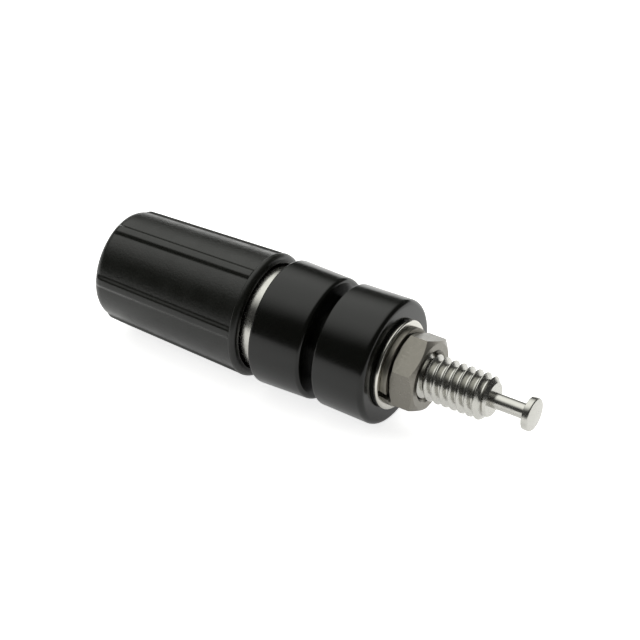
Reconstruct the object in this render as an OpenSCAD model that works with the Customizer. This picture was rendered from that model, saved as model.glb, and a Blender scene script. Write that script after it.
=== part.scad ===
// Five-way binding post with a fluted cap, two insulators and a turret stud.
// The post lies along X. X = 0 is the panel seat, the cap points to -X and the
// solder turret to +X. Millimetres, +Z up. Angles about the post run from -Y to +Z.

/* [Insulators] */
// Largest diameter of both insulators and of the cap's rim
body_d = 11.5; // [10.5:0.1:14]
// Length of the front insulator, from its panel seat to its front face
front_l = 5.2; // [4:0.1:8]
// Length of the rear insulator
rear_l = 5.2; // [4.4:0.1:8]
// Clear space between the two insulators, where the panel goes
panel_gap = 1.3; // [0.6:0.1:2]
// Moulding draft of both insulators, smaller towards the panel
body_draft = 1.5; // [0:0.25:3]
// Rounding of the front insulator's front edge
front_edge_r = 0.25; // [0.1:0.05:0.4]
// Rounding of the front insulator's edge at the panel
panel_edge_r = 0.4; // [0.2:0.05:0.6]
// Rounding of the rear insulator's edge at the panel
gap_edge_r = 0.2; // [0.1:0.05:0.4]
// Rounding of the rear insulator's outer edge
rear_edge_r = 0.5; // [0.2:0.05:0.7]
// Diameter of the boss that goes through the panel hole
boss_d = 7.86; // [7.4:0.02:8.2]
// Length of the boss, from the panel seat
boss_l = 2.6; // [2:0.1:3.2]
// Depth of the flat that keys the boss in a D-shaped hole
boss_flat = 0.45; // [0.2:0.05:0.6]
// Clearance between the boss's end and the floor of the pocket, fully closed
pocket_spare = 0.3; // [0.2:0.05:0.5]
// Height of the raised seat under the flat washer
seat_h = 0.2; // [0.1:0.05:0.4]

/* [Stud] */
// Diameter of the threaded stem that the cap runs on
stem_d = 6.3; // [5.9:0.05:6.6]
// Length of the stem in front of the collar
stem_l = 14.4; // [13.5:0.1:16]
// Diameter of the plug socket in the stem
socket_d = 4.1; // [4.04:0.02:4.3]
// Depth of the plug socket
socket_depth = 11; // [8:0.5:11.5]
// Diameter of the wire hole across the stem
wire_hole_d = 2.1; // [1.2:0.1:2.2]
// Distance from the collar to the middle of the wire hole
wire_hole_x = 1.4; // [1.2:0.1:1.6]
// Diameter of the collar that the wire is clamped against
collar_d = 9.5; // [9:0.1:9.8]
// Thickness of the collar
collar_h = 1.9; // [1.6:0.1:2.6]
// Width across flats of the hexagon that keys the stud in the front insulator
key_af = 6.35; // [5.6:0.05:6.8]
// Length of that hexagon
key_l = 1.6; // [1:0.1:2.4]
// Outside diameter of the rear thread
thread_d = 4.166; // [4:0.02:4.3]
// Length of the rear thread behind the nut, up to its end chamfer
thread_out = 5.65; // [4:0.05:8]
// Size of the chamfer at the thread's end
thread_chamfer = 0.56; // [0.3:0.02:0.7]
// Diameter of the solder turret's post
post_d = 1.4; // [1.2:0.1:2]
// Length of the post between the thread and the turret's head
post_l = 3.35; // [2:0.05:5]
// Diameter of the turret's head
head_d = 3; // [2.4:0.1:3.4]
// Thickness of the turret's head
head_h = 0.65; // [0.4:0.05:1]

/* [Cap] */
// Thickness of the cap's end wall, in front of the stem
end_wall = 0.95; // [0.7:0.05:1.5]
// Draft of the cap, smaller towards its far end
cap_draft = 2; // [0.5:0.25:2.5]
// How far the cap's rim reaches over the collar when it is closed
rim_overlap = 0.5; // [0.3:0.05:0.8]
// Rounding of the rim's outer edge
rim_edge_r = 0.65; // [0.3:0.05:0.7]
// Rounding of the cap's far edge
end_edge_r = 1; // [0.5:0.05:1.2]
// Number of ribs
rib_count = 6; // [4:1:10]
// Angle of the first rib
rib_angle = 11.5; // [0:0.5:60]
// Height of a rib above the cap's wall
rib_h = 0.2; // [0.1:0.02:0.3]
// Width of a rib along its crest
rib_crest_w = 0.44; // [0.3:0.02:0.8]
// Width of a rib at its foot
rib_foot_w = 1.3; // [1:0.05:1.8]
// Diameter of the hole in the cap's end, where the plug goes in
mouth_d = 5.2; // [4.6:0.1:5.6]
// Chamfer around that hole
mouth_chamfer = 0.4; // [0.2:0.05:0.6]

/* [Cap bushing] */
// Diameter of the brass bushing in the cap
bushing_d = 7.9; // [7.6:0.05:8.2]
// Length of the bushing, with its flange
bushing_l = 6; // [4:0.1:8]
// Diameter of the flange that clamps the wire
flange_d = 9.1; // [8.6:0.05:9.4]
// Thickness of that flange
flange_h = 0.8; // [0.5:0.05:1.2]

/* [Fasteners] */
// Outside diameter of the flat washer
washer_d = 8.2; // [7.8:0.05:9]
// Thickness of the flat washer
washer_h = 0.35; // [0.25:0.05:0.8]
// Outside diameter of the split lock washer
lock_d = 7.2; // [6.6:0.05:7.6]
// Thickness of the split lock washer
lock_h = 0.6; // [0.5:0.05:1]
// Width of the split
split_w = 0.7; // [0.4:0.05:1]
// Slant of the split
split_slant = 20; // [0:5:30]
// Angle of the split about the post
split_angle = -16; // [-30:1:30]
// Width across flats of the nut
nut_af = 6.35; // [6:0.05:7.2]
// Thickness of the nut
nut_h = 2.38; // [2:0.02:3.2]
// Angle of the nut's first corner
nut_angle = 58; // [0:1:60]

/* [Fits] */
// Radial running clearance of both screw threads
thread_gap = 0.03; // [0.02:0.01:0.06]
// Radial clearance of the washers and the rear insulator on the thread
hole_gap = 0.16; // [0.1:0.02:0.3]
// Radial clearance of the boss in the rear insulator's pocket
pocket_gap = 0.17; // [0.1:0.01:0.3]
// Clearance between the cap and its bushing, all over
bushing_gap = 0.02; // [0.02:0.01:0.05]
// Radial clearance of the cap around the stem and around the collar
cap_gap = 0.2; // [0.15:0.01:0.25]
// Clearance of the stud's hexagon in the front insulator, on each side
key_gap = 0.04; // [0.02:0.01:0.08]
// Space left between the closed cap's bushing and the collar
closed_gap = 0.03; // [0.02:0.01:0.06]

/* [Hidden] */

// A cut runs this far past the face that it opens.
past = 1;
// Small chamfer on turned and stamped metal edges.
edge = 0.12;
// Half of the angle between a hexagon's corners.
half_hex = 30;

body_r = body_d / 2;
thread_r = thread_d / 2;
stem_r = stem_d / 2;

// Places along X, from the cap to the turret.
front_face = -front_l;
collar_face = front_face - collar_h;
stem_end = collar_face - stem_l;
socket_floor = stem_end + socket_depth;
wire_hole_at = collar_face - wire_hole_x;
bushing_face = collar_face - closed_gap;
rim_face = collar_face + rim_overlap;
cap_end = stem_end - cap_gap - end_wall;
gap_face = panel_gap;
rear_face = gap_face + rear_l;
washer_face = rear_face + seat_h;
lock_face = washer_face + washer_h;
nut_face = lock_face + lock_h;
nut_end = nut_face + nut_h;
thread_full = nut_end + thread_out;
thread_end = thread_full + thread_chamfer;
head_face = thread_end + post_l;
head_end = head_face + head_h;

// The rear insulator's pocket takes the boss when there is no panel at all.
pocket_depth = boss_l + pocket_spare;
// The front insulator is narrowest at the panel seat, the rear one at its front.
front_seat_r = body_r - front_l * tan(body_draft);
rear_seat_r = body_r - rear_l * tan(body_draft);

// Points of an arc about (r, x), from angle a to angle b.
function arc(r, x, radius, a, b, steps = 8) =
    [for (i = [0 : steps])
        let (t = a + (b - a) * i / steps)
        [r + radius * cos(t), x + radius * sin(t)]];

// Radius of the rib crests, and of the wall between them, at a place along X.
function crest_r(x) = body_r - (rim_face - x) * tan(cap_draft);
function land_r(x) = crest_r(x) - rib_h;

// Turns a profile of [radius, x] points about the post's axis.
module turned(points) {
    rotate([0, 90, 0]) rotate_extrude($fn = 96) polygon(points);
}

// A plain round hole or pin along X.
module round_bar(r, from, to) {
    translate([from, 0, 0]) rotate([0, 90, 0]) cylinder(r = r, h = to - from, $fn = 96);
}

// A hexagon along X with a corner at the given angle.
module hex_bar(af, from, to, angle) {
    translate([from, 0, 0]) rotate([0, 90, 0]) rotate([0, 0, -90 - angle])
        cylinder(r = af / 2 / cos(half_hex), h = to - from, $fn = 6);
}

// The section of a rib: x is its height above the wall, y its width. Both
// flanks are soft S-curves, and the foot is sunk into the wall.
module rib_section() {
    steps = 6;
    flank = [for (i = [0 : steps])
        let (t = i / steps)
        [rib_h * (1 - cos(180 * t)) / 2,
         rib_foot_w / 2 + (rib_crest_w - rib_foot_w) / 2 * t]];
    polygon(concat(
        [[-rib_h, rib_foot_w / 2]],
        flank,
        [[2 * rib_h, rib_crest_w / 2], [2 * rib_h, -rib_crest_w / 2]],
        [for (i = [steps : -1 : 0]) [flank[i][0], -flank[i][1]]],
        [[-rib_h, -rib_foot_w / 2]]));
}

// One rib for each step about the axis, laid along the wall's slope.
module ribs() {
    for (k = [0 : rib_count - 1])
        rotate([-rib_angle - k * 360 / rib_count, 0, 0])
            translate([cap_end, -land_r(cap_end), 0])
                rotate([0, 90, -cap_draft])
                    rotate([0, 0, -90])
                        linear_extrude(height = rim_face - cap_end) rib_section();
}

// The fluted knob: a tapered wall with ribs, a smooth rounded rim and a hollow
// for the stem, the bushing and the collar.
module cap() {
    rim_start = rim_face - rim_edge_r;
    wall = concat(
        [[0, cap_end]],
        arc(land_r(cap_end + end_edge_r) - end_edge_r, cap_end + end_edge_r, end_edge_r, -90, 0),
        [[land_r(rim_start), rim_start], [body_r, rim_start]],
        arc(body_r - rim_edge_r, rim_start, rim_edge_r, 0, 90),
        [[0, rim_face]]);
    crest_start = cap_end + edge + end_edge_r;
    crests = concat(
        [[0, cap_end + edge]],
        arc(crest_r(crest_start) - end_edge_r, crest_start, end_edge_r, -90, 0),
        [[crest_r(rim_start), rim_start], [0, rim_start]]);
    flange_floor = bushing_face - flange_h - bushing_gap;
    bushing_floor = bushing_face - bushing_l - bushing_gap;
    stem_floor = stem_end - cap_gap;
    hollow = [
        [0, cap_end - past],
        [mouth_d / 2 + mouth_chamfer + past, cap_end - past],
        [mouth_d / 2, cap_end + mouth_chamfer],
        [mouth_d / 2, stem_floor],
        [stem_r + cap_gap, stem_floor],
        [stem_r + cap_gap, bushing_floor],
        [bushing_d / 2 + bushing_gap, bushing_floor],
        [bushing_d / 2 + bushing_gap, flange_floor],
        [collar_d / 2 + cap_gap, flange_floor],
        [collar_d / 2 + cap_gap, rim_face + past],
        [0, rim_face + past]];
    color("#232420") difference() {
        union() {
            turned(wall);
            intersection() {
                turned(crests);
                ribs();
            }
        }
        turned(hollow);
    }
}

// The threaded bushing that the cap is moulded around. Its flange clamps the wire.
module cap_bushing() {
    flange_r = flange_d / 2;
    outside = [
        [0, bushing_face - bushing_l],
        [bushing_d / 2, bushing_face - bushing_l],
        [bushing_d / 2, bushing_face - flange_h],
        [flange_r, bushing_face - flange_h],
        [flange_r, bushing_face - edge],
        [flange_r - edge, bushing_face],
        [0, bushing_face]];
    color("#c9c7bd") difference() {
        turned(outside);
        round_bar(stem_r + thread_gap, bushing_face - bushing_l - past, bushing_face + past);
    }
}

// One turned piece: the stem with its plug socket and wire hole, the collar,
// the hexagon that keys it, the rear thread and the solder turret.
module stud() {
    collar_r = collar_d / 2;
    head_r = head_d / 2;
    outside = [
        [0, stem_end],
        [stem_r - 2 * edge, stem_end],
        [stem_r, stem_end + 2 * edge],
        [stem_r, collar_face],
        [collar_r - edge, collar_face],
        [collar_r, collar_face + edge],
        [collar_r, front_face],
        [thread_r, front_face],
        [thread_r, thread_full],
        [thread_r - thread_chamfer, thread_end],
        [post_d / 2, thread_end],
        [post_d / 2, head_face],
        [head_r - edge, head_face],
        [head_r, head_face + edge],
        [head_r, head_end - edge],
        [head_r - edge, head_end],
        [0, head_end]];
    socket = [
        [0, stem_end - past],
        [socket_d / 2 + 2 * edge + past, stem_end - past],
        [socket_d / 2, stem_end + 2 * edge],
        [socket_d / 2, socket_floor],
        [0, socket_floor + socket_d / 2 * tan(half_hex)]];
    color("#c9c7bd") difference() {
        union() {
            turned(outside);
            hex_bar(key_af, front_face - edge, front_face + key_l, half_hex);
        }
        turned(socket);
        translate([wire_hole_at, 0, 0])
            cylinder(r = wire_hole_d / 2, h = 2 * (stem_r + past), center = true, $fn = 64);
    }
}

// The front insulator, with the keyed boss that goes through the panel.
module front_insulator() {
    boss_r = boss_d / 2;
    front_edge = front_face + front_edge_r;
    outside = concat(
        [[0, front_face]],
        arc(body_r - front_edge_r, front_edge, front_edge_r, -90, 0),
        arc(front_seat_r - panel_edge_r, -panel_edge_r, panel_edge_r, 0, 90),
        [[boss_r, 0], [boss_r, boss_l - edge], [boss_r - edge, boss_l], [0, boss_l]]);
    color("#0f100e") difference() {
        turned(outside);
        hex_bar(key_af + 2 * key_gap, front_face - past, front_face + key_l + key_gap, half_hex);
        round_bar(thread_r + hole_gap, front_face - past, boss_l + past);
        translate([0, -boss_r, boss_r - boss_flat]) cube([boss_l + past, boss_d, boss_d]);
    }
}

// The rear insulator. Its pocket slides over the boss, and its raised seat
// carries the flat washer.
module rear_insulator() {
    outside = concat(
        [[0, gap_face]],
        arc(rear_seat_r - gap_edge_r, gap_face + gap_edge_r, gap_edge_r, -90, 0),
        arc(body_r - rear_edge_r, rear_face - rear_edge_r, rear_edge_r, 0, 90),
        [[washer_d / 2 - edge, rear_face], [washer_d / 2 - edge, washer_face], [0, washer_face]]);
    color("#0f100e") difference() {
        turned(outside);
        round_bar(boss_d / 2 + pocket_gap, gap_face - past, gap_face + pocket_depth);
        round_bar(thread_r + hole_gap, gap_face, washer_face + past);
    }
}

// A plain stamped washer.
module flat_washer() {
    washer_r = washer_d / 2;
    outside = [
        [0, washer_face],
        [washer_r, washer_face],
        [washer_r, lock_face - edge],
        [washer_r - edge, lock_face],
        [0, lock_face]];
    color("#d2d2cc") difference() {
        turned(outside);
        round_bar(thread_r + hole_gap, washer_face - past, lock_face + past);
    }
}

// A spring washer with one slanted split.
module lock_washer() {
    color("#77766f") difference() {
        round_bar(lock_d / 2, lock_face, nut_face);
        round_bar(thread_r + hole_gap, lock_face - past, nut_face + past);
        translate([(lock_face + nut_face) / 2, 0, 0]) rotate([-split_angle, 0, 0])
            translate([0, -lock_d / 2, 0]) rotate([0, split_slant, 0])
                cube([4 * lock_h, lock_d, split_w], center = true);
    }
}

// The hexagon nut, chamfered on both faces and countersunk at both ends.
module nut() {
    corner_r = nut_af / 2 / cos(half_hex);
    flat_r = 0.95 * nut_af / 2;
    drop = (corner_r - flat_r) * tan(half_hex);
    sink = 2 * edge;
    bore_r = thread_r + thread_gap;
    blank = [
        [0, nut_face],
        [flat_r, nut_face],
        [corner_r, nut_face + drop],
        [corner_r, nut_end - drop],
        [flat_r, nut_end],
        [0, nut_end]];
    bore = [
        [0, nut_face - past],
        [bore_r + sink + past, nut_face - past],
        [bore_r, nut_face + sink],
        [bore_r, nut_end - sink],
        [bore_r + sink + past, nut_end + past],
        [0, nut_end + past]];
    color("#8b877c") difference() {
        intersection() {
            turned(blank);
            hex_bar(nut_af, nut_face - past, nut_end + past, nut_angle);
        }
        turned(bore);
    }
}

cap();
cap_bushing();
stud();
front_insulator();
rear_insulator();
flat_washer();
lock_washer();
nut();
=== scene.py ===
# %% [markdown]
# # A binding post, dressed for the camera
# A binding post is a panel terminal: a fluted plastic cap screws down on a
# plated brass stud and clamps a wire, two glossy plastic insulators hold the
# stud in the panel, and washers, a nut and a solder turret finish its back.
# The frame holds the solids at their real size. This lesson models each piece
# again with fine edges, screw threads and a finish of its own.

# %% Load the frame
import math

import bmesh
import bpy
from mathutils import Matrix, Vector


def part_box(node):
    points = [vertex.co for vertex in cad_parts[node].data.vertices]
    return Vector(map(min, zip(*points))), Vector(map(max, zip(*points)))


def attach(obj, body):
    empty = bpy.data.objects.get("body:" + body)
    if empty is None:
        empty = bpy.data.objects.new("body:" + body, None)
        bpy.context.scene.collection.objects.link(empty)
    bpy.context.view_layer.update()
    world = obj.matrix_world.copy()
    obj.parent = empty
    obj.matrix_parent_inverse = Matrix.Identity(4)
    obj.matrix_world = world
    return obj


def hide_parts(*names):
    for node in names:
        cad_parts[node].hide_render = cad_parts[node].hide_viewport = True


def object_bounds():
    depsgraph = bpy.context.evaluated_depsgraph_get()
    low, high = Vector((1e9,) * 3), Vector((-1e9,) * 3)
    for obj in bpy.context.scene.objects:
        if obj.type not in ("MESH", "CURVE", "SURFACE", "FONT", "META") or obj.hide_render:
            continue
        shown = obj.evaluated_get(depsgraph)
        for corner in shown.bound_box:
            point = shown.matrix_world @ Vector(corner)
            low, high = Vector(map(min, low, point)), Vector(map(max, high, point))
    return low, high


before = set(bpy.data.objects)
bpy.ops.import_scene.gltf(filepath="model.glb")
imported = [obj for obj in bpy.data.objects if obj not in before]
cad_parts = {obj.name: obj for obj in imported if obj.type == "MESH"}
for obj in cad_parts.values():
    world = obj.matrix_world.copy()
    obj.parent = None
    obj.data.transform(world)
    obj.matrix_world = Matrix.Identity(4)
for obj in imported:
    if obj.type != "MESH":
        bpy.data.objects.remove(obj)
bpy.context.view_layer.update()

MM = 0.001

# %% [markdown]
# ## Places along the post
# The post lies along X. Every piece starts and ends where its solid in the
# frame does, so the places are read from the solids' boxes and not typed in.

# %% Read the places
def span(node):
    """Where a solid starts and ends along the post, and its radius, in mm."""
    low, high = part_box(node)
    return low[0] / MM, high[0] / MM, high[1] / MM


cap_end, rim_face, rim_r = span("cap")
bushing_end, bushing_face, flange_r = span("cap_bushing")
stem_end, head_end, collar_r = span("stud")
front_face, boss_end, body_r = span("front_insulator")
gap_face, washer_face, rear_r = span("rear_insulator")
washer_face, lock_face, washer_r = span("flat_washer")
lock_face, nut_face, lock_r = span("lock_washer")
nut_face, nut_end, _ = span("nut")
print("cap", round(cap_end, 2), "to", round(rim_face, 2))
print("nut", round(nut_face, 2), "to", round(nut_end, 2))

# %% [markdown]
# ## Turning
# Most pieces are turned or moulded round, so they are made as on a lathe: one
# vertex is extruded along half of the section, corner by corner, and the line
# is spun about X. Corners that a cutter or a mould leaves round are given a
# radius, and the radius becomes a short arc in the line.

# %% Outlines with rounded corners
def rounded(corners, steps=5):
    """Points of an outline in mm. A corner is (x, r) or (x, r, radius)."""
    points = []
    for i, corner in enumerate(corners):
        here = Vector(corner[:2])
        if len(corner) == 2:
            points.append(here)
            continue
        before = (Vector(corners[i - 1][:2]) - here).normalized()
        after = (Vector(corners[(i + 1) % len(corners)][:2]) - here).normalized()
        half = before.angle(after) / 2
        reach = corner[2] / math.tan(half)
        centre = here + (before + after).normalized() * corner[2] / math.sin(half)
        first = here + before * reach - centre
        last = here + after * reach - centre
        turn = first.angle(last)
        for k in range(steps + 1):
            t = k / steps
            a = math.sin((1 - t) * turn) / math.sin(turn)
            b = math.sin(t * turn) / math.sin(turn)
            points.append(centre + first * a + last * b)
    return points


# %% Spin an outline
smooth_angle = math.radians(28)
seam = 0.0005 * MM


def finish_mesh(piece):
    """Closes the seams, points the faces outwards and smooths the round stretches."""
    bpy.ops.object.select_all(action="DESELECT")
    piece.select_set(True)
    bpy.context.view_layer.objects.active = piece
    bpy.ops.object.mode_set(mode="EDIT")
    bpy.ops.mesh.select_all(action="SELECT")
    bpy.ops.mesh.remove_doubles(threshold=seam)
    bpy.ops.mesh.normals_make_consistent(inside=False)
    bpy.ops.object.mode_set(mode="OBJECT")
    bpy.ops.object.shade_smooth_by_angle(angle=smooth_angle)


def draw_line(name, points, closed):
    """One vertex extruded along the outline's points, left in edit mode."""
    bpy.ops.object.select_all(action="DESELECT")
    start = Vector((points[0][0], 0, points[0][1])) * MM
    bpy.ops.mesh.primitive_plane_add(size=MM)
    piece = bpy.context.object
    piece.name = name
    bpy.ops.object.mode_set(mode="EDIT")
    bpy.ops.mesh.select_mode(type="VERT")
    bpy.ops.mesh.merge(type="CENTER")
    bpy.ops.transform.translate(value=start)
    for last, here in zip(points, points[1:]):
        step = Vector((here[0] - last[0], 0, here[1] - last[1])) * MM
        bpy.ops.mesh.extrude_vertices_move(TRANSFORM_OT_translate={"value": step})
    if closed:
        bpy.ops.mesh.select_all(action="SELECT")
        mesh = bmesh.from_edit_mesh(piece.data)
        ends = [v for v in mesh.verts if len(v.link_edges) == 1]
        bpy.ops.mesh.select_all(action="DESELECT")
        for vertex in ends:
            vertex.select = True
        bpy.ops.mesh.edge_face_add()
    return piece


def turned(name, corners, steps=128, arc_steps=5, closed=False):
    """A solid of revolution about X. A closed outline makes a ring."""
    piece = draw_line(name, rounded(corners, arc_steps), closed)
    bpy.ops.mesh.select_all(action="SELECT")
    bpy.ops.mesh.spin(steps=steps, angle=2 * math.pi, center=(0, 0, 0), axis=(1, 0, 0))
    bpy.ops.object.mode_set(mode="OBJECT")
    finish_mesh(piece)
    print(name, len(piece.data.polygons), "faces")
    return piece


# %% [markdown]
# ## Joining and cutting
# A drilled hole or a milled flat is easiest as a second solid that is taken
# away, as a drill would. The Boolean modifier does that, and is applied at
# once so that each piece ends as one plain mesh.

# %% Boolean steps
def fix_place():
    """Moves the place, turn and size of the active object into its mesh."""
    bpy.ops.object.transform_apply(location=True, rotation=True, scale=True)


def combine(piece, tool, operation):
    """UNION, DIFFERENCE or INTERSECT of a piece and a tool, which is used up."""
    step = piece.modifiers.new("step", "BOOLEAN")
    step.object = tool
    step.operation = operation
    step.solver = "EXACT"
    bpy.ops.object.select_all(action="DESELECT")
    bpy.context.view_layer.objects.active = piece
    piece.select_set(True)
    bpy.ops.object.modifier_apply(modifier=step.name)
    bpy.data.objects.remove(tool)
    return piece


def break_edges(piece, width, angle=35):
    """A small bevel on the sharp edges, as a tumbled or stamped piece has."""
    bevel = piece.modifiers.new("edges", "BEVEL")
    bevel.width = width * MM
    bevel.segments = 2
    bevel.limit_method = "ANGLE"
    bevel.angle_limit = math.radians(angle)
    bevel.use_clamp_overlap = True
    bpy.ops.object.select_all(action="DESELECT")
    bpy.context.view_layer.objects.active = piece
    piece.select_set(True)
    bpy.ops.object.modifier_apply(modifier=bevel.name)
    bpy.ops.object.shade_smooth_by_angle(angle=smooth_angle)


# %% [markdown]
# ## Screw threads
# A thread is one V drawn once and carried round the bar while it moves along
# by a pitch a turn. The Screw modifier does exactly that. Both ends are then
# bisected square and filled. Where a nut has to start, the last turn is also
# turned down to a cone.

# %% A threaded bar
def threaded_bar(name, radius, pitch, start, end, steps=64, chamfer=0.0):
    """A bar with a sixty degree thread, cut square at both ends."""
    depth = 0.6 * pitch
    crest = pitch / 8
    root = pitch / 5
    flank = (pitch - crest - root) / 2
    soft = 0.2 * crest
    before = start - 2 * pitch
    line = [
        (before, radius - soft),
        (before + soft, radius),
        (before + crest - soft, radius),
        (before + crest, radius - soft),
        (before + crest + flank, radius - depth + soft),
        (before + crest + flank + soft, radius - depth),
        (before + crest + flank + root - soft, radius - depth),
        (before + crest + flank + root, radius - depth + soft),
        (before + pitch, radius - soft)]
    bar = draw_line(name, line, closed=False)
    bpy.ops.object.mode_set(mode="OBJECT")
    screw = bar.modifiers.new("thread", "SCREW")
    screw.axis = "X"
    screw.angle = 2 * math.pi
    screw.screw_offset = pitch * MM
    screw.iterations = math.ceil((end - start) / pitch) + 4
    screw.steps = steps
    screw.render_steps = steps
    bpy.ops.object.modifier_apply(modifier=screw.name)
    bpy.ops.object.mode_set(mode="EDIT")
    bpy.ops.mesh.select_all(action="SELECT")
    bpy.ops.mesh.remove_doubles(threshold=0.001 * MM)
    for place, side in ((start, -1), (end, 1)):
        bpy.ops.mesh.select_all(action="SELECT")
        bpy.ops.mesh.bisect(plane_co=(place * MM, 0, 0), plane_no=(side, 0, 0),
                            use_fill=True, clear_outer=True, threshold=1e-7)
    bpy.ops.object.mode_set(mode="OBJECT")
    if chamfer:
        for vertex in bar.data.vertices:
            reach = math.hypot(vertex.co.y, vertex.co.z)
            limit = radius * MM - max(0, vertex.co.x - (end - chamfer) * MM)
            if reach > limit:
                vertex.co.y *= limit / reach
                vertex.co.z *= limit / reach
    finish_mesh(bar)
    print(name, len(bar.data.polygons), "faces")
    return bar


# %% [markdown]
# ## The cap
# The cap is moulded: a tapered wall with six low ribs for the fingers, a
# smooth rounded lip at its wide end and a hole for a plug in its far end. The
# wall is turned first. Each rib is then raised out of it by moving the wall's
# own vertices outwards on a soft S-curve, which keeps wall and rib one skin
# with no seam, as the mould does.

# %% Model the cap
cap_slope = math.tan(math.radians(2))
rib_h = 0.2
rib_count = 6
rib_angle = math.radians(11.5)
rib_crest = 0.44
rib_foot = 1.3
lip_r = 0.65
edge_r = 0.12
lip_start = rim_face - lip_r
end_r = 1.0
collar_face = bushing_face + 0.03
stem_r = 3.15
flange_t = 0.8
moulding_room = 0.02


def crest_at(x):
    """Radius of the ribs' crests. They round over at the cap's end, as the wall does."""
    straight = rim_r - (rim_face - x) * cap_slope
    into = max(0, cap_end + edge_r + end_r - x)
    return straight - end_r + math.sqrt(max(0, end_r ** 2 - into ** 2))


def land_at(x):
    """Radius of the wall between the ribs."""
    return rim_r - (rim_face - x) * cap_slope - rib_h


def model_cap():
    """The cap's wall, lip and hollow as one turned skin, with its ribs raised."""
    wall = []
    for k in range(1, 14):
        x = cap_end + end_r + k
        wall.append((x, land_at(x)))
    collar_room = 4.95
    bushing_room = 3.97
    stem_room = 3.35
    mouth_r = 2.6
    flange_floor = bushing_face - flange_t - moulding_room
    bushing_floor = bushing_end - moulding_room
    stem_floor = stem_end - 0.2
    corners = [
        (cap_end, mouth_r + 0.4),
        (cap_end, land_at(cap_end), end_r),
        *wall,
        (lip_start - 0.05, land_at(lip_start), 0.06),
        (lip_start, rim_r, edge_r),
        (lip_start + 0.1, rim_r),
        (rim_face, rim_r - 0.02, lip_r - edge_r),
        (rim_face, collar_room, edge_r),
        (flange_floor, collar_room),
        (flange_floor, bushing_room),
        (bushing_floor, bushing_room),
        (bushing_floor, stem_room),
        (stem_floor, stem_room),
        (stem_floor, mouth_r),
        (cap_end + 0.4, mouth_r)]
    cap = turned("cap_moulding", corners, steps=480, arc_steps=8, closed=True)
    for vertex in cap.data.vertices:
        x = vertex.co.x / MM
        reach = math.hypot(vertex.co.y, vertex.co.z) / MM
        if reach < stem_r + 1.0 or x > lip_start - 0.04 or reach < land_at(x) - end_r:
            continue
        around = math.atan2(vertex.co.z, -vertex.co.y) - rib_angle
        part = 2 * math.pi / rib_count
        off = abs((around + part / 2) % part - part / 2) * reach
        t = (rib_foot / 2 - off) / (rib_foot / 2 - rib_crest / 2)
        t = min(1, max(0, t))
        lift = (1 - math.cos(math.pi * t)) / 2
        target = reach + max(0, crest_at(x) - reach) * lift
        vertex.co.y *= target / reach
        vertex.co.z *= target / reach
    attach(cap, "knob")
    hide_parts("cap")
    return cap


cap = model_cap()

# %% [markdown]
# ## The cap's bushing
# The cap runs on brass, not on plastic: a threaded bushing is moulded into it,
# and its flange presses the wire against the collar. It is a plain turned ring
# with a bright edge, seen only with the cap unscrewed.

# %% Model the bushing
def model_bushing():
    bore_r = stem_r + 0.03
    outside_r = 3.95
    lead_in = 0.1
    flange = bushing_face - flange_t
    bushing = turned("bushing_turning", [
        (bushing_end, bore_r + lead_in),
        (bushing_end, outside_r, 0.08),
        (flange, outside_r),
        (flange, flange_r, 0.05),
        (bushing_face, flange_r, 0.12),
        (bushing_face, bore_r + lead_in),
        (bushing_face - lead_in, bore_r),
        (bushing_end + lead_in, bore_r)], closed=True)
    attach(bushing, "cap_carrier")
    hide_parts("cap_bushing")
    return bushing


bushing = model_bushing()

# %% [markdown]
# ## The stud
# The stud is turned from one brass bar: a threaded stem that holds the plug
# socket and the wire hole, the collar, the rear thread and the solder turret.
# The two threads are screwed bars, the rest is turned, and they are united,
# so that the thread runs out of the metal as a cut one does.

# %% Model the stud
rear_thread_r = 2.083
rear_pitch = 0.794
stem_pitch = 0.907
turret_l = 4.0
thread_end = head_end - turret_l
post_r = 0.7
head_r = 1.5
head_face = head_end - 0.65
key_r = 3.1
key_l = 1.6


def model_stud():
    collar = [
        (collar_face - 0.4, 0),
        (collar_face - 0.4, stem_r - 0.6),
        (collar_face, stem_r - 0.6),
        (collar_face, collar_r, 0.12),
        (front_face, collar_r, 0.04),
        (front_face, key_r),
        (front_face + key_l, key_r),
        (front_face + key_l, 0)]
    stud = turned("stud_turning", collar, steps=192)
    rear = threaded_bar("rear_thread", rear_thread_r, rear_pitch, front_face + 1.2,
                        thread_end, chamfer=0.56)
    combine(stud, rear, "UNION")
    turret = turned("turret", [
        (thread_end - 0.6, 0),
        (thread_end - 0.6, post_r),
        (thread_end - 0.05, post_r),
        (head_face, post_r, 0.1),
        (head_face, head_r, 0.08),
        (head_end, head_r, 0.14),
        (head_end, 0)], steps=96)
    combine(stud, turret, "UNION")
    stem = threaded_bar("stem_thread", stem_r, stem_pitch, stem_end, collar_face + 0.2)
    combine(stud, stem, "UNION")
    socket_r = 2.05
    socket_floor = stem_end + 11.0
    drill_tip = 1.18
    wire_hole_r = 1.05
    socket = turned("socket_drill", [
        (stem_end - 1.0, 0),
        (stem_end - 1.0, socket_r + 1.3),
        (stem_end + 0.3, socket_r),
        (socket_floor, socket_r),
        (socket_floor + drill_tip, 0)], steps=96)
    combine(stud, socket, "DIFFERENCE")
    bpy.ops.object.select_all(action="DESELECT")
    bpy.ops.mesh.primitive_cylinder_add(vertices=64, radius=wire_hole_r * MM, depth=10 * MM,
                                        location=((collar_face - 1.4) * MM, 0, 0))
    drill = bpy.context.object
    combine(stud, drill, "DIFFERENCE")
    finish_mesh(stud)
    print("stud", len(stud.data.polygons), "faces")
    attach(stud, "post")
    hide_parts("stud")
    return stud


stud = model_stud()

# %% [markdown]
# ## The insulators
# Both insulators are moulded in a glossy plastic and let go of the mould
# thanks to a little draft, so each is slimmest at the panel. Their round edges
# are what catches the light, and each edge has a radius of its own.

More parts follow.
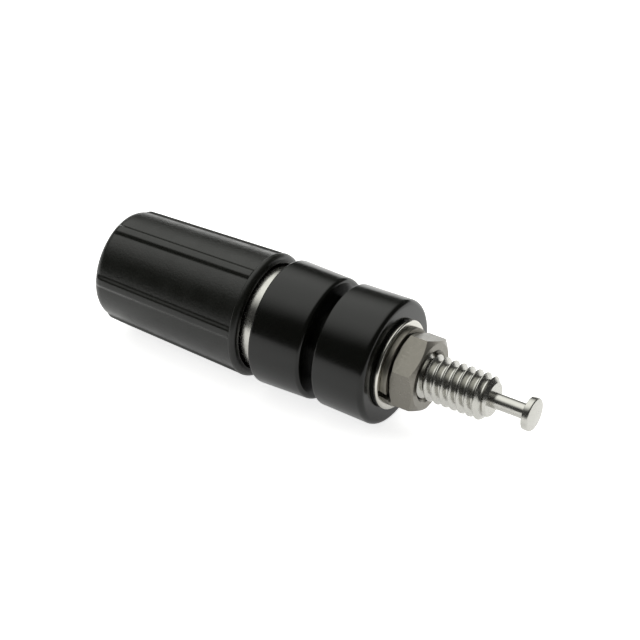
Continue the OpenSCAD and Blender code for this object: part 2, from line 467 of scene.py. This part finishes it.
# %% Model the insulators
draft = math.tan(math.radians(1.5))
seat_r = body_r + front_face * draft
thread_room = rear_thread_r + 0.16


def model_front_insulator():
    boss_r = 3.93
    pocket_r = key_r + 0.15
    pocket_floor = front_face + key_l + 0.04
    body = turned("front_moulding", [
        (front_face, pocket_r),
        (front_face, body_r, 0.25),
        (front_face / 2, (body_r + seat_r) / 2),
        (0, seat_r, 0.4),
        (0, boss_r),
        (boss_end, boss_r, 0.15),
        (boss_end, thread_room),
        (pocket_floor, thread_room),
        (pocket_floor, pocket_r)], steps=192, arc_steps=8, closed=True)
    bpy.ops.object.select_all(action="DESELECT")
    flat_z = boss_r - 0.45
    middle = boss_end / 2 + 0.51
    bpy.ops.mesh.primitive_cube_add(size=1, location=(middle * MM, 0, (flat_z + 1) * MM))
    tool = bpy.context.object
    tool.scale = ((boss_end + 1) * MM, 8 * MM, 2 * MM)
    fix_place()
    combine(body, tool, "DIFFERENCE")
    finish_mesh(body)
    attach(body, "post")
    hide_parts("front_insulator")
    return body


def model_rear_insulator():
    rear_face = washer_face - 0.2
    seat_edge = washer_r - 0.12
    pocket_r = 4.1
    pocket_floor = gap_face + 2.9
    body = turned("rear_moulding", [
        (gap_face, pocket_r),
        (gap_face, seat_r, 0.2),
        ((gap_face + rear_face) / 2, (seat_r + rear_r) / 2),
        (rear_face, rear_r, 0.5),
        (rear_face, seat_edge),
        (washer_face, seat_edge),
        (washer_face, thread_room),
        (pocket_floor, thread_room),
        (pocket_floor, pocket_r)], steps=192, arc_steps=8, closed=True)
    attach(body, "clamp_stack")
    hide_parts("rear_insulator")
    return body


front_insulator = model_front_insulator()
rear_insulator = model_rear_insulator()

# %% [markdown]
# ## Washers and nut
# The flat washer is stamped, so one of its edges is rolled over. The lock
# washer is wound from spring wire and cut, which leaves a slanted split. The
# nut is cut from hexagon bar: its corners are turned off by a cone at both
# ends, and a countersink opens the thread.

# %% Model the washers
def model_flat_washer():
    washer = turned("washer_stamping", [
        (washer_face, thread_room),
        (washer_face, washer_r, 0.06),
        (lock_face, washer_r, 0.16),
        (lock_face, thread_room)], closed=True)
    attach(washer, "clamp_stack")
    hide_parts("flat_washer")
    return washer


def model_lock_washer():
    washer = turned("spring_washer", [
        (lock_face, thread_room, 0.05),
        (lock_face, lock_r, 0.08),
        (nut_face, lock_r, 0.08),
        (nut_face, thread_room, 0.05)], closed=True)
    split_angle = math.radians(16)
    middle = (lock_face + nut_face) / 2
    bpy.ops.object.select_all(action="DESELECT")
    bpy.ops.mesh.primitive_cube_add(size=1)
    blade = bpy.context.object
    blade.scale = (4 * MM, lock_r * MM, 0.7 * MM)
    fix_place()
    blade.rotation_euler = (0, math.radians(20), 0)
    fix_place()
    blade.location = (middle * MM, -lock_r * MM, 0)
    fix_place()
    blade.rotation_euler = (split_angle, 0, 0)
    fix_place()
    combine(washer, blade, "DIFFERENCE")
    finish_mesh(washer)
    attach(washer, "clamp_stack")
    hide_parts("lock_washer")
    return washer


# %% Model the nut
def model_nut():
    across_flats = 6.35
    corner_r = across_flats / 2 / math.cos(math.radians(30))
    chamfer_share = 0.95
    flat_r = chamfer_share * across_flats / 2
    drop = (corner_r - flat_r) * math.tan(math.radians(30))
    first_corner = math.radians(58)
    bpy.ops.object.select_all(action="DESELECT")
    bpy.ops.mesh.primitive_cylinder_add(vertices=6, radius=corner_r * MM,
                                        depth=(nut_end - nut_face) * MM,
                                        location=((nut_face + nut_end) / 2 * MM, 0, 0),
                                        rotation=(0, math.pi / 2, 0))
    nut = bpy.context.object
    nut.name = "nut_turning"
    fix_place()
    # The bar's first corner lies on Z before it is turned to its place.
    nut.rotation_euler = (math.pi / 2 - first_corner, 0, 0)
    fix_place()
    cones = turned("chamfers", [
        (nut_face, 0),
        (nut_face, flat_r),
        (nut_face + drop, corner_r),
        (nut_face + drop + 0.001, corner_r + 0.05),
        (nut_end - drop - 0.001, corner_r + 0.05),
        (nut_end - drop, corner_r),
        (nut_end, flat_r),
        (nut_end, 0)], steps=192)
    combine(nut, cones, "INTERSECT")
    bore_r = rear_thread_r + 0.03
    sink = 0.3
    bore = turned("tap", [
        (nut_face - 1, 0),
        (nut_face - 1, bore_r + sink + 1),
        (nut_face + sink, bore_r),
        (nut_end - sink, bore_r),
        (nut_end + 1, bore_r + sink + 1),
        (nut_end + 1, 0)], steps=96)
    combine(nut, bore, "DIFFERENCE")
    break_edges(nut, 0.035)
    finish_mesh(nut)
    print("nut", len(nut.data.polygons), "faces")
    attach(nut, "hex_nut")
    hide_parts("nut")
    return nut


flat_washer = model_flat_washer()
lock_washer = model_lock_washer()
nut = model_nut()

# %% [markdown]
# ## Materials: helpers
# A node material is a small graph. One function adds a node with its settings
# and its links, and another turns a colour as a designer writes it, in sRGB
# hex, into the linear values that the renderer needs.

# %% Material helpers
def linear(hex_colour):
    """An sRGB hex colour as linear red, green, blue and alpha."""
    values = [int(hex_colour[i:i + 2], 16) / 255 for i in (1, 3, 5)]
    return [v / 12.92 if v <= 0.04045 else ((v + 0.055) / 1.055) ** 2.4 for v in values] + [1]


def add_node(tree, kind, settings=None, inputs=None, links=None):
    """Adds a node. links maps an input's name to another node's output."""
    node = tree.nodes.new(kind)
    for name, value in (settings or {}).items():
        setattr(node, name, value)
    for name, value in (inputs or {}).items():
        node.inputs[name].default_value = value
    for name, source in (links or {}).items():
        tree.links.new(source, node.inputs[name])
    return node


def new_material(name):
    """An empty material with its output, as (material, tree, output)."""
    material = bpy.data.materials.new(name)
    material.use_nodes = True
    tree = material.node_tree
    tree.nodes.clear()
    return material, tree, tree.nodes.new("ShaderNodeOutputMaterial")


def per_metre(size_mm):
    """Noise scale for features of that size, on Object coordinates in metres."""
    return 1 / (size_mm * MM)


# %% [markdown]
# ## Moulded plastics
# The cap is a glass filled nylon with a fine spark grain in its mould, which
# breaks the gloss into a soft grey sheen. The insulators are the same black
# in a polished mould, so they mirror the studio softly and only a faint
# waviness shows that they shrank as they cooled.

# %% Cap plastic
def cap_plastic():
    material, tree, output = new_material("black_nylon_spark_grained")
    place = add_node(tree, "ShaderNodeTexCoord")
    grain = add_node(tree, "ShaderNodeTexNoise",
                     inputs={"Scale": per_metre(0.22), "Detail": 3.0, "Roughness": 0.6},
                     links={"Vector": place.outputs["Object"]})
    patches = add_node(tree, "ShaderNodeTexNoise", inputs={"Scale": per_metre(1.6), "Detail": 2.0},
                       links={"Vector": place.outputs["Object"]})
    gloss = add_node(tree, "ShaderNodeMapRange",
                     inputs={"From Min": 0.3, "From Max": 0.7, "To Min": 0.28, "To Max": 0.37},
                     links={"Value": patches.outputs["Fac"]})
    bump = add_node(tree, "ShaderNodeBump", inputs={"Strength": 0.5, "Distance": 0.03 * MM},
                    links={"Height": grain.outputs["Fac"]})
    shader = add_node(tree, "ShaderNodeBsdfPrincipled",
                      inputs={"Base Color": linear("#12130f"), "IOR": 1.5, "Specular IOR Level": 0.42},
                      links={"Roughness": gloss.outputs["Result"], "Normal": bump.outputs["Normal"]})
    tree.links.new(shader.outputs["BSDF"], output.inputs["Surface"])
    return material


# %% Insulator plastic
def insulator_plastic():
    material, tree, output = new_material("black_nylon_polished_mould")
    place = add_node(tree, "ShaderNodeTexCoord")
    waves = add_node(tree, "ShaderNodeTexNoise", inputs={"Scale": per_metre(2.2), "Detail": 2.0},
                     links={"Vector": place.outputs["Object"]})
    gloss = add_node(tree, "ShaderNodeMapRange",
                     inputs={"From Min": 0.3, "From Max": 0.7, "To Min": 0.17, "To Max": 0.24},
                     links={"Value": waves.outputs["Fac"]})
    bump = add_node(tree, "ShaderNodeBump", inputs={"Strength": 0.15, "Distance": 0.01 * MM},
                    links={"Height": waves.outputs["Fac"]})
    shader = add_node(tree, "ShaderNodeBsdfPrincipled",
                      inputs={"Base Color": linear("#0b0c09"), "IOR": 1.5, "Specular IOR Level": 0.36},
                      links={"Roughness": gloss.outputs["Result"], "Normal": bump.outputs["Normal"]})
    tree.links.new(shader.outputs["BSDF"], output.inputs["Surface"])
    return material


# %% [markdown]
# ## Plated metals
# All the metal is plated with nickel, a slightly warm silver. What differs is
# what the plate covers: a turned surface keeps fine rings round the axis, a
# stamped one is nearly plain, and the nut's barrel plating is dull and darker.
# The spring washer's plating is dull too, and its darker colour is partly
# painted shade for the gap between the flat washer and the nut.

# %% One plated finish with its turning marks
def plated(name, colour, rough_low, rough_high, ring_mm, ring_depth, mottle_mm):
    """Nickel over metal: rings about X from the tool, and a fine mottle."""
    material, tree, output = new_material(name)
    place = add_node(tree, "ShaderNodeTexCoord")
    rings = add_node(tree, "ShaderNodeTexNoise",
                     settings={"noise_dimensions": "1D"},
                     inputs={"Scale": per_metre(ring_mm), "Detail": 3.0, "Roughness": 0.7})
    along = add_node(tree, "ShaderNodeSeparateXYZ", links={"Vector": place.outputs["Object"]})
    tree.links.new(along.outputs["X"], rings.inputs["W"])
    mottle = add_node(tree, "ShaderNodeTexNoise", inputs={"Scale": per_metre(mottle_mm), "Detail": 4.0},
                      links={"Vector": place.outputs["Object"]})
    gloss = add_node(tree, "ShaderNodeMapRange",
                     inputs={"From Min": 0.3, "From Max": 0.7, "To Min": rough_low, "To Max": rough_high},
                     links={"Value": mottle.outputs["Fac"]})
    ring_bump = add_node(tree, "ShaderNodeBump", inputs={"Strength": 0.5, "Distance": ring_depth * MM},
                         links={"Height": rings.outputs["Fac"]})
    bump = add_node(tree, "ShaderNodeBump", inputs={"Strength": 0.3, "Distance": 0.004 * MM},
                    links={"Height": mottle.outputs["Fac"], "Normal": ring_bump.outputs["Normal"]})
    shader = add_node(tree, "ShaderNodeBsdfPrincipled",
                      inputs={"Base Color": linear(colour), "Metallic": 1.0},
                      links={"Roughness": gloss.outputs["Result"], "Normal": bump.outputs["Normal"]})
    tree.links.new(shader.outputs["BSDF"], output.inputs["Surface"])
    return material


# %% Dress the pieces
def dress(piece, material):
    """Gives a piece one material and nothing else."""
    piece.data.materials.clear()
    piece.data.materials.append(material)


bright = plated("nickel_on_turned_brass", "#b9b8b3", 0.2, 0.3, 0.12, 0.003, 0.5)
dress(cap, cap_plastic())
insulator = insulator_plastic()
dress(front_insulator, insulator)
dress(rear_insulator, insulator)
dress(stud, bright)
dress(bushing, bright)
stamped = plated("nickel_on_stamped_steel", "#c9c7c0", 0.18, 0.26, 1.0, 0.001, 0.8)
dress(flat_washer, stamped)
# The spring washer's darker colour is partly its dull plating and partly painted shade for the gap
# between the flat washer and the nut.
sprung_with_painted_shade = plated("nickel_on_spring_steel_with_painted_shade", "#77746c", 0.35, 0.45, 1.0, 0.001, 0.5)
dress(lock_washer, sprung_with_painted_shade)
dull = plated("dull_nickel_on_hexagon_brass", "#7c7972", 0.26, 0.36, 0.3, 0.001, 0.25)
dress(nut, dull)
print(len(bpy.data.materials), "materials")

# %% [markdown]
# ## The studio
# The post lies on a pale sweep. The floor is lit like any surface, so it keeps
# the shadow, and adds a little light of its own for the camera, for
# mirror-like surfaces and for clear ones. The room gives the highlights: it
# glows smoothly from above and a little to one side and is nearly dark low
# down, so black plastic shines along its top and stays black below.

# %% Floor
def ray_strength(tree, strengths):
    """A strength for each kind of ray, 0 for all others."""
    path = add_node(tree, "ShaderNodeLightPath")
    total = 0
    for name, strength in strengths.items():
        node = add_node(tree, "ShaderNodeMath", settings={"operation": "MULTIPLY_ADD"})
        tree.links.new(path.outputs[name], node.inputs[0])
        node.inputs[1].default_value = strength
        if total:
            tree.links.new(total, node.inputs[2])
        else:
            node.inputs[2].default_value = 0
        total = node.outputs["Value"]
    return total


floor_room = 0.01
floor_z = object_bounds()[0][2] - floor_room * MM
bpy.ops.object.select_all(action="DESELECT")
bpy.ops.mesh.primitive_plane_add(size=3, location=(0, 0, floor_z))
floor = bpy.context.object
floor.name = "floor"
material, tree, output = new_material("white_sweep")
paint = add_node(tree, "ShaderNodeBsdfDiffuse", inputs={"Color": linear("#f0f0ef")})
glow = add_node(tree, "ShaderNodeEmission", inputs={"Color": linear("#ffffff")})
floor_glow = ray_strength(tree, {"Is Camera Ray": 0.8, "Is Glossy Ray": 0.45, "Is Transmission Ray": 0.8})
tree.links.new(floor_glow, glow.inputs["Strength"])
both = add_node(tree, "ShaderNodeAddShader")
tree.links.new(paint.outputs["BSDF"], both.inputs[0])
tree.links.new(glow.outputs["Emission"], both.inputs[1])
tree.links.new(both.outputs["Shader"], output.inputs["Surface"])
dress(floor, material)

# %% Room
world = bpy.data.worlds.new("studio")
bpy.context.scene.world = world
world.use_nodes = True
tree = world.node_tree
tree.nodes.clear()
place = add_node(tree, "ShaderNodeTexCoord")
glow_from = add_node(tree, "ShaderNodeVectorMath", settings={"operation": "DOT_PRODUCT"})
tree.links.new(place.outputs["Generated"], glow_from.inputs[0])
glow_direction = Vector((-0.4, 0.2, 0.89)).normalized()
glow_from.inputs[1].default_value = glow_direction
sweep = add_node(tree, "ShaderNodeMapRange", settings={"interpolation_type": "SMOOTHSTEP"},
                 inputs={"From Min": 0.58, "From Max": 0.98, "To Min": 0.06, "To Max": 1.7},
                 links={"Value": glow_from.outputs["Value"]})
room = add_node(tree, "ShaderNodeBackground", inputs={"Color": linear("#fbfcf8")},
                links={"Strength": sweep.outputs["Result"]})
white = add_node(tree, "ShaderNodeBackground", inputs={"Color": linear("#ffffff"), "Strength": 1.0})
mix = add_node(tree, "ShaderNodeMixShader")
tree.links.new(ray_strength(tree, {"Is Camera Ray": 1.0}), mix.inputs["Fac"])
tree.links.new(room.outputs["Background"], mix.inputs[1])
tree.links.new(white.outputs["Background"], mix.inputs[2])
output = add_node(tree, "ShaderNodeOutputWorld")
tree.links.new(mix.outputs["Shader"], output.inputs["Surface"])

# %% [markdown]
# ## Lamps
# Three wide soft boxes give the plain light and the soft shadow. The strongest
# stands beyond the post and high, and two weaker ones open the shadows. They
# are hidden from reflections, where their square outlines would show: what
# shines on the plastic and the metal is the room's glow.

# %% Soft boxes
def soft_box(name, place_mm, size_mm, power):
    """A rectangular lamp that faces the post. The power is in watts."""
    data = bpy.data.lights.new(name, "AREA")
    data.shape = "RECTANGLE"
    data.size = size_mm[0] * MM
    data.size_y = size_mm[1] * MM
    data.energy = power
    lamp = bpy.data.objects.new(name, data)
    bpy.context.scene.collection.objects.link(lamp)
    lamp.location = Vector(place_mm) * MM
    lamp.rotation_euler = (-lamp.location).to_track_quat("-Z", "Y").to_euler()
    lamp.visible_glossy = False


soft_box("top_box", (-40, 300, 260), (260, 160), 0.7)
soft_box("front_box", (-260, -200, 240), (160, 160), 0.2)
soft_box("right_box", (330, 60, 160), (120, 160), 0.25)

# %% [markdown]
# ## The camera
# A long lens from well above the panel's back, so that nut, thread and turret
# lie nearest and the cap runs away from the eye.

# %% Camera
azimuth = math.radians(32.55)
elevation = math.radians(35.51)
distance = 219.5
aim = Vector((-1.31, 0, 1.61))
lens_mm = 140.6
towards = Vector((-math.sin(azimuth) * math.cos(elevation),
                  math.cos(azimuth) * math.cos(elevation),
                  -math.sin(elevation)))
data = bpy.data.cameras.new("camera")
data.lens = lens_mm
data.sensor_width = 36
data.clip_start = 0.01
camera = bpy.data.objects.new("camera", data)
bpy.context.scene.collection.objects.link(camera)
camera.location = (aim - towards * distance) * MM
camera.rotation_euler = towards.to_track_quat("-Z", "Y").to_euler()
bpy.context.scene.camera = camera
bpy.context.scene.view_settings.view_transform = "Standard"
